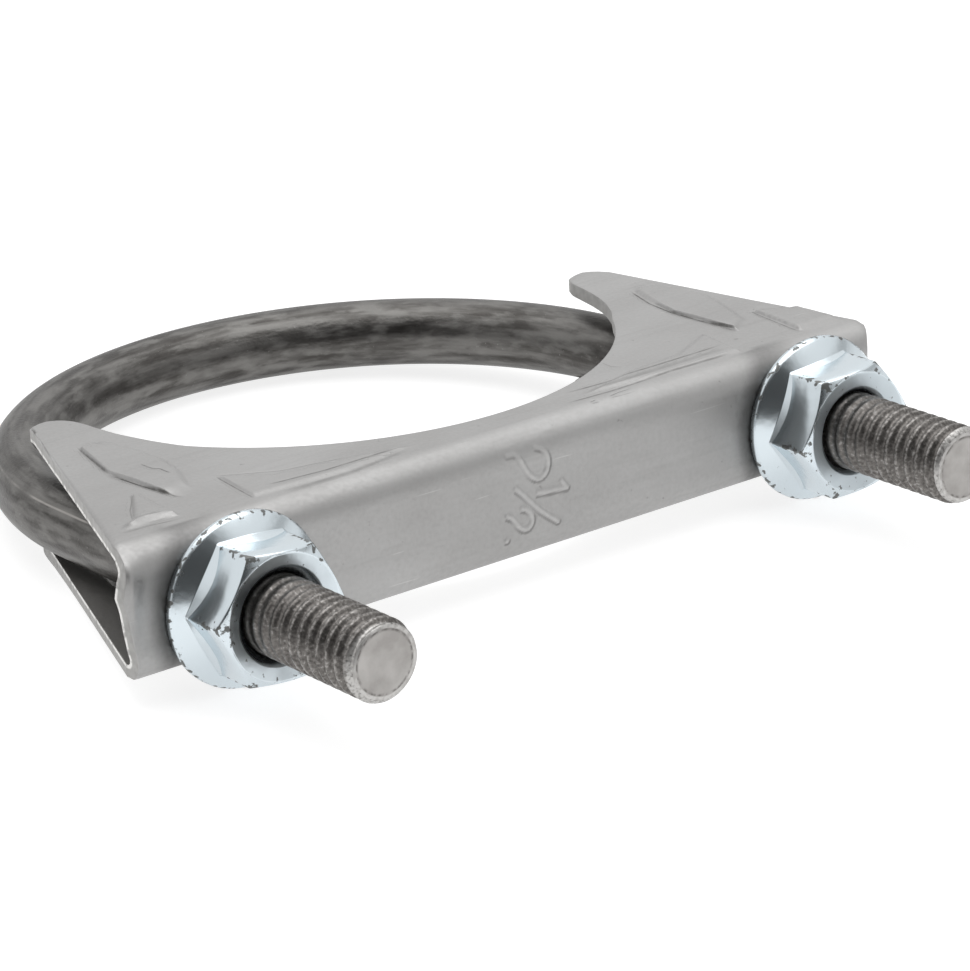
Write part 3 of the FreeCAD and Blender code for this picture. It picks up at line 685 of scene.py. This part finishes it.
# The run in which the rod widens to the thread's crests, its chamfer, and how deep its end faces go.
blank_run = 0.8
end_chamfer = 0.45
end_zone = 0.3
around = 72
rows_in_pitch = 12
row_step = pitch / rows_in_pitch
plain_rows = 12
bow_rows = 70
closing_gap = 0.000001
# Stations along the rod: the place of each and, on the slightly hollow end faces, its radius.
end_face = [(0.1, 0.0), (0.08, 1.2), (0.05, 2.3), (0.0, 2.8), (0.0, crest_radius - end_chamfer)]
half = end_face + [(row_step * n, None) for n in range(1, int(thread_length / row_step))]
half += [(s, None) for s in np.linspace(thread_length + 1, leg_length, plain_rows)]
half += [(s, None) for s in np.linspace(leg_length, leg_length + bow_length / 2, bow_rows)[1:]]
stations = half + [(line_length - s, radius) for s, radius in reversed(half[:-1])]


def share_of(distance, whole):
    """The share of a whole that a distance covers, from 0 to 1."""
    return min(1.0, max(0.0, distance / whole))


bm = bmesh.new()
bmesh.ops.create_grid(bm, x_segments=around, y_segments=len(stations) - 1, size=1)
along_layer = bm.verts.layers.float_vector.new("along_rod")
crest_layer = bm.verts.layers.float.new("crest")
for vert in bm.verts:
    angle = (vert.co.x + 1) * math.pi
    s, radius = stations[round((vert.co.y + 1) / 2 * (len(stations) - 1))]
    from_end = min(s, line_length - s)
    crest = 0.0
    if radius is None:
        if row_step < from_end < thread_length - 1:
            s += (angle / (2 * math.pi) * pitch) % row_step
            from_end = min(s, line_length - s)
        phase = (s / pitch - angle / (2 * math.pi)) % 1.0
        form = share_of(0.5 - abs(phase - 0.5) - thread_root, thread_flank)
        form = form * form * (3 - 2 * form)
        cut = share_of(thread_length - from_end, thread_fade)
        cut *= worn_share + (1 - worn_share) * share_of(worn_from - from_end, worn_run)
        thicker = share_of(thread_length - from_end, blank_run)
        blank = rod_radius + (crest_radius - rod_radius) * thicker
        radius = blank - thread_depth * cut * (1 - form)
        radius = min(radius, crest_radius - end_chamfer + from_end)
        crest = form * cut
    if s <= leg_length:
        out = Vector((-1, 0, 0))
        middle = Vector((-leg_axis, s - leg_length, 0))
    elif s <= leg_length + bow_length:
        bend = (s - leg_length) / leg_axis
        out = Vector((-math.cos(bend), math.sin(bend), 0))
        middle = out * leg_axis
    else:
        out = Vector((1, 0, 0))
        middle = Vector((leg_axis, line_length - leg_length - s, 0))
    up = Vector((0, 0, 1))
    vert[along_layer] = (s, radius * math.cos(angle), radius * math.sin(angle))
    vert[crest_layer] = crest
    vert.co = (middle + (out * math.cos(angle) + up * math.sin(angle)) * radius) / 1000
bmesh.ops.remove_doubles(bm, verts=bm.verts, dist=closing_gap)
bmesh.ops.recalc_face_normals(bm, faces=bm.faces)
for face in bm.faces:
    face.smooth = True
    if abs(face.normal.y) > 0.9 and face.calc_center_median().y < (end_zone - leg_length) / 1000:
        face.material_index = 1
rod_mesh = bpy.data.meshes.new("bent_rod")
bm.to_mesh(rod_mesh)
bm.free()
bent_rod = bpy.data.objects.new("bent_rod", rod_mesh)
bpy.context.scene.collection.objects.link(bent_rod)

# Dark drawn steel: streaks and blotches along the rod, one thin pale seam, threads whose crests are
# rubbed bright in specks, and a bright chamfer at each end.
streak_dark = (0.07, 0.066, 0.062)
streak_pale = (0.185, 0.18, 0.172)
blotch_pale = (0.23, 0.225, 0.215)
blotch_dark = (0.05, 0.046, 0.043)
speck_pale = (0.32, 0.315, 0.305)
thread_dark = (0.105, 0.098, 0.092)
thread_pale = (0.22, 0.208, 0.197)
thread_speck = (0.42, 0.41, 0.4)
seam_pale = (0.42, 0.4, 0.38)
crest_pale = (0.4, 0.385, 0.37)
chamfer_pale = (0.55, 0.54, 0.525)
seam_side = 2.7
seam_core = 0.03
seam_half = 0.1
chamfer_start = 0.65
half_line = line_length / 2
material, tree, shader = new_finish("rod_steel", 0.9, 0.4)
place = mark(tree, "along_rod", "Vector")
streaks = grain(tree, place, (0.1, 1.0, 1.0), 7.0)
blotches = grain(tree, place, (0.26, 0.8, 0.8), 8.0)
specks = grain(tree, place, (2.4, 3.2, 3.2), 5.0)
breaks = grain(tree, place, (0.25, 0.1, 0.1), 2.0)
apart = tree.nodes.new("ShaderNodeSeparateXYZ")
tree.links.new(place, apart.inputs["Vector"])
from_middle = combine(tree, "SUBTRACT", apart.outputs["X"], half_line)
from_middle = combine(tree, "ABSOLUTE", from_middle, 0.0)
threaded = remap(tree, from_middle, half_line - thread_length - 1, half_line - thread_length, 0.0, 1.0)
colour = tint(tree, streak_dark, streak_pale, streaks, 0.36, 0.66)
colour = tint(tree, colour, blotch_pale, blotches, 0.5, 0.66, 0.8)
colour = tint(tree, colour, blotch_dark, blotches, 0.46, 0.34, 0.6)
colour = tint(tree, colour, speck_pale, specks, 0.68, 0.74, 0.45)
thread_colour = tint(tree, thread_dark, thread_pale, specks, 0.35, 0.65)
thread_colour = tint(tree, thread_colour, thread_speck, specks, 0.62, 0.68, 0.6)
colour = paint(tree, colour, thread_colour, threaded)
from_seam = combine(tree, "SUBTRACT", apart.outputs["Y"], seam_side)
from_seam = combine(tree, "ABSOLUTE", from_seam, 0.0)
seam = remap(tree, from_seam, seam_core, seam_half, 0.8, 0.0)
seam = combine(tree, "MULTIPLY", seam, remap(tree, breaks, 0.4, 0.55, 0.1, 1.0))
seam = combine(tree, "MULTIPLY", seam, combine(tree, "GREATER_THAN", apart.outputs["Z"], 0.0))
seam = combine(tree, "MULTIPLY", seam, remap(tree, threaded, 0.0, 1.0, 1.0, 0.0))
colour = paint(tree, colour, seam_pale, seam)
rubbed = remap(tree, mark(tree, "crest"), 0.8, 1.0, 0.0, 0.6)
rubbed = combine(tree, "MULTIPLY", rubbed, remap(tree, specks, 0.42, 0.6, 0.05, 1.0))
colour = paint(tree, colour, crest_pale, rubbed)
chamfer = remap(tree, from_middle, half_line - chamfer_start, half_line - end_chamfer, 0.0, 1.0)
chamfer = combine(tree, "MULTIPLY", chamfer, remap(tree, specks, 0.35, 0.55, 0.25, 0.95))
colour = paint(tree, colour, chamfer_pale, chamfer)
tree.links.new(colour, shader.inputs["Base Color"])
tree.links.new(remap(tree, blotches, 0.3, 0.7, 0.3, 0.5), shader.inputs["Roughness"])
press_in(tree, shader, combine(tree, "ADD", streaks, specks), 0.4, 0.0001)
rod_mesh.materials.append(material)

# Ends of the rod: sheared across, paler and cloudy, with a broken groove and outside it a ring of
# torn metal near the rim. The rings are given by the radii where they start and end.
end_dark = (0.36, 0.345, 0.332)
end_pale = (0.48, 0.465, 0.45)
groove_dark = (0.12, 0.112, 0.105)
torn_pale = (0.62, 0.61, 0.595)
groove_start = (2.85, 3.05)
groove_end = (3.1, 3.2)
torn_start = (3.12, 3.25)
material, tree, shader = new_finish("rod_end", 0.85, 0.48)
clouds = grain(tree, spot_on_piece(tree), (420, 420, 420), 6.0)
colour = tint(tree, end_dark, end_pale, clouds, 0.35, 0.65)
place = mark(tree, "along_rod", "Vector")
flat = tree.nodes.new("ShaderNodeVectorMath")
flat.operation = "MULTIPLY"
flat.inputs[1].default_value = (0, 1, 1)
tree.links.new(place, flat.inputs[0])
span = tree.nodes.new("ShaderNodeVectorMath")
span.operation = "LENGTH"
tree.links.new(flat.outputs["Vector"], span.inputs[0])
from_axis = span.outputs["Value"]
patchy = grain(tree, place, (1.0, 1.6, 1.6), 6.0)
groove = remap(tree, from_axis, *groove_start, 0.0, 1.0)
groove = combine(tree, "MULTIPLY", groove, remap(tree, from_axis, *groove_end, 1.0, 0.0))
groove = combine(tree, "MULTIPLY", groove, remap(tree, patchy, 0.42, 0.6, 0.05, 0.8))
colour = paint(tree, colour, groove_dark, groove)
torn = remap(tree, from_axis, *torn_start, 0.0, 1.0)
torn = combine(tree, "MULTIPLY", torn, remap(tree, patchy, 0.36, 0.55, 0.15, 0.9))
colour = paint(tree, colour, torn_pale, torn)
tree.links.new(colour, shader.inputs["Base Color"])
press_in(tree, shader, clouds, 0.4, 0.0002)
rod_mesh.materials.append(material)
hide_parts("u_bolt")
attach(bent_rod, "u_bolt")

# Flange nuts: hexagon and conical flange forged in one, tapped, and plated with bright zinc, which
# tools have scuffed off at the corners and the rim.
zinc_blue_white = (0.69, 0.76, 0.8)
scuff_dark = (0.13, 0.128, 0.12)
zinc_plate, tree, shader = new_finish("zinc_plate", 1.0, 0.25)
place = spot_on_piece(tree)
dimples = grain(tree, place, (240, 240, 240), 3.0)
ragged = grain(tree, place, (1500, 1500, 1500), 9.0)
worn = remap(tree, combine(tree, "ADD", ragged, mark(tree, "edge_wear")), 0.79, 0.84, 0.0, 0.9)
tree.links.new(paint(tree, zinc_blue_white, scuff_dark, worn), shader.inputs["Base Color"])
dull = combine(tree, "MAXIMUM", mark(tree, "matt"), worn)
tree.links.new(remap(tree, dull, 0.0, 1.0, 0.22, 0.52), shader.inputs["Roughness"])
press_in(tree, shader, dimples, 0.3, 0.0003)

flat_radius = 6.35
corner_round = 0.3
nut_height = 7.0
# The thread in the bore: its depth, the shares of the pitch that half its crest and its flank take,
# and the run in which it starts at each mouth.
bore_radius = 4.03
bore_thread_depth = 0.5
bore_crest = 0.06
bore_flank = 0.38
bore_run_in = 0.6
# The ring, the cone, the top and the dish in it.
dish_depth = 0.42
rim_radius = 8.59
rim_height = 0.85
cone_slope = 0.62
top_radius = 6.25
top_slope = 0.62
# The band where a flat runs out into the cone: how wide it is at the corners, and how high for its
# width.
least_band = 0.1
band_rise = 3.0
# How many degrees to each side of a corner the plating is worn.
corner_wear_span = 8.0
# Directions round the nut, in degrees from the middle of a flat, closer together at the corners.
half_flat = 30.0
sector = [*np.linspace(-30, -27, 7), *np.linspace(-26, 26, 16), *np.linspace(27, 30, 7)[:-1]]
angles = [60 * n + off for n in range(6) for off in sector] + [330]
round_middle = flat_radius - corner_round
flat_end = math.degrees(math.atan(round_middle * math.tan(math.radians(half_flat)) / flat_radius))
corner_reach = round_middle / math.cos(math.radians(half_flat))
outside_rows = 23
# Of each nut: its hand, its leg, how far it is turned, how wide its hexagon runs out into the cone,
# the chamfer at each mouth of its bore, and how matt its top is.
nuts = [
    ("left", -leg_axis, 4.0, 0.3, 0.85, 0.25),
    ("right", leg_axis, -5.0, 0.16, 0.6, 0.9),
]
for hand, leg_x, turned, band_width, mouth, matt in nuts:
    bore_rows = list(np.linspace(nut_height - dish_depth - mouth, mouth, 46))
    bm = bmesh.new()
    count = outside_rows + len(bore_rows)
    bmesh.ops.create_grid(bm, x_segments=len(angles) - 1, y_segments=count - 1, size=1)
    wear_layer = bm.verts.layers.float.new("edge_wear")
    matt_layer = bm.verts.layers.float.new("matt")
    for vert in bm.verts:
        angle = angles[round((vert.co.x + 1) / 2 * (len(angles) - 1))]
        index = round((vert.co.y + 1) / 2 * (count - 1))
        off_flat = (angle + half_flat) % 60 - half_flat
        if abs(off_flat) < flat_end:
            hexagon = flat_radius / math.cos(math.radians(off_flat))
        else:
            off_corner = math.radians(half_flat - abs(off_flat))
            hexagon = corner_reach * math.cos(off_corner)
            hexagon += math.sqrt(corner_round ** 2 - (corner_reach * math.sin(off_corner)) ** 2)
        spread = least_band + band_width * (1 - (off_flat / half_flat) ** 2)
        foot = hexagon + spread
        foot_height = rim_height + (rim_radius - foot) * cone_slope
        band = band_rise * spread
        shoulder = nut_height - max(0.0, hexagon - top_radius) * top_slope
        at_corner = max(0.0, 1 - (half_flat - abs(off_flat)) / corner_wear_span)
        # The outside, from the bore's foot over the ring, the cone, the hexagon and the top down into
        # the dish: the radius and height of each point, and how worn it is.
        profile = [
            (bore_radius + mouth, 0.0, 0.0),
            (rim_radius - 0.3, 0.0, 0.1),
            (rim_radius - 0.08, 0.07, 0.2),
            (rim_radius, 0.25, 0.26),
            (rim_radius, rim_height - 0.28, 0.28),
            (rim_radius - 0.08, rim_height - 0.08, 0.28),
            (rim_radius - 0.3, rim_height + 0.17, 0.12),
            (foot + 0.06, foot_height - 0.04, 0.0),
            (foot, foot_height, 0.0),
            (foot - 0.08 * spread, foot_height + 0.08 * band, 0.0),
            (hexagon + 0.08 * spread, foot_height + 0.92 * band, 0.0),
            (hexagon, foot_height + band, 0.1 * at_corner),
            (hexagon, foot_height + band + 0.06, 0.15 * at_corner),
            (hexagon, 0.5 * (foot_height + band + shoulder), 0.38 * at_corner),
            (hexagon, shoulder - 0.12, 0.4 * at_corner),
            (hexagon - 0.06, shoulder, 0.36 * at_corner + 0.2),
            (hexagon - 0.2, shoulder + 0.1, 0.25 * at_corner + 0.16),
            (min(hexagon - 0.22, top_radius), nut_height - 0.04, 0.22),
            (min(hexagon - 0.27, top_radius - 0.12), nut_height, 0.2),
            (min(hexagon - 0.33, top_radius - 0.2), nut_height - 0.03, 0.17),
            (bore_radius + mouth + 0.05, nut_height - dish_depth + 0.02, 0.13),
            (bore_radius + mouth, nut_height - dish_depth, 0.1),
            (bore_radius + mouth - 0.05, nut_height - dish_depth - 0.05, 0.0),
        ]
        if index < outside_rows:
            radius, height, wear = profile[index]
        else:
            height = bore_rows[index - outside_rows]
            phase = ((height + web_y) / pitch + angle / 360) % 1.0
            form = share_of(0.5 - abs(phase - 0.5) - bore_crest, bore_flank)
            run_in = share_of(min(bore_rows[0] - height, height - mouth), bore_run_in)
            radius = bore_radius + bore_thread_depth * form * run_in
            wear = 0.0
        vert[wear_layer] = wear
        on_top = radius < top_radius - 0.1 and height > nut_height - 1
        vert[matt_layer] = matt if on_top else 0.0
        around_axis = math.radians(angle + turned)
        vert.co = Vector((
            leg_x + radius * math.sin(around_axis), web_y - height, radius * math.cos(around_axis)
        )) / 1000
    bmesh.ops.remove_doubles(bm, verts=bm.verts, dist=closing_gap)
    bmesh.ops.bridge_loops(bm, edges=[edge for edge in bm.edges if edge.is_boundary])
    bmesh.ops.recalc_face_normals(bm, faces=bm.faces)
    for face in bm.faces:
        face.smooth = True
    nut_mesh = bpy.data.meshes.new("zinc_nut_" + hand)
    bm.to_mesh(nut_mesh)
    bm.free()
    nut = bpy.data.objects.new("zinc_nut_" + hand, nut_mesh)
    bpy.context.scene.collection.objects.link(nut)
    nut_mesh.materials.append(zinc_plate)
    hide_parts("flange_nut_" + hand)
    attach(nut, hand + "_nut")

bpy.context.scene.view_settings.view_transform = "Standard"
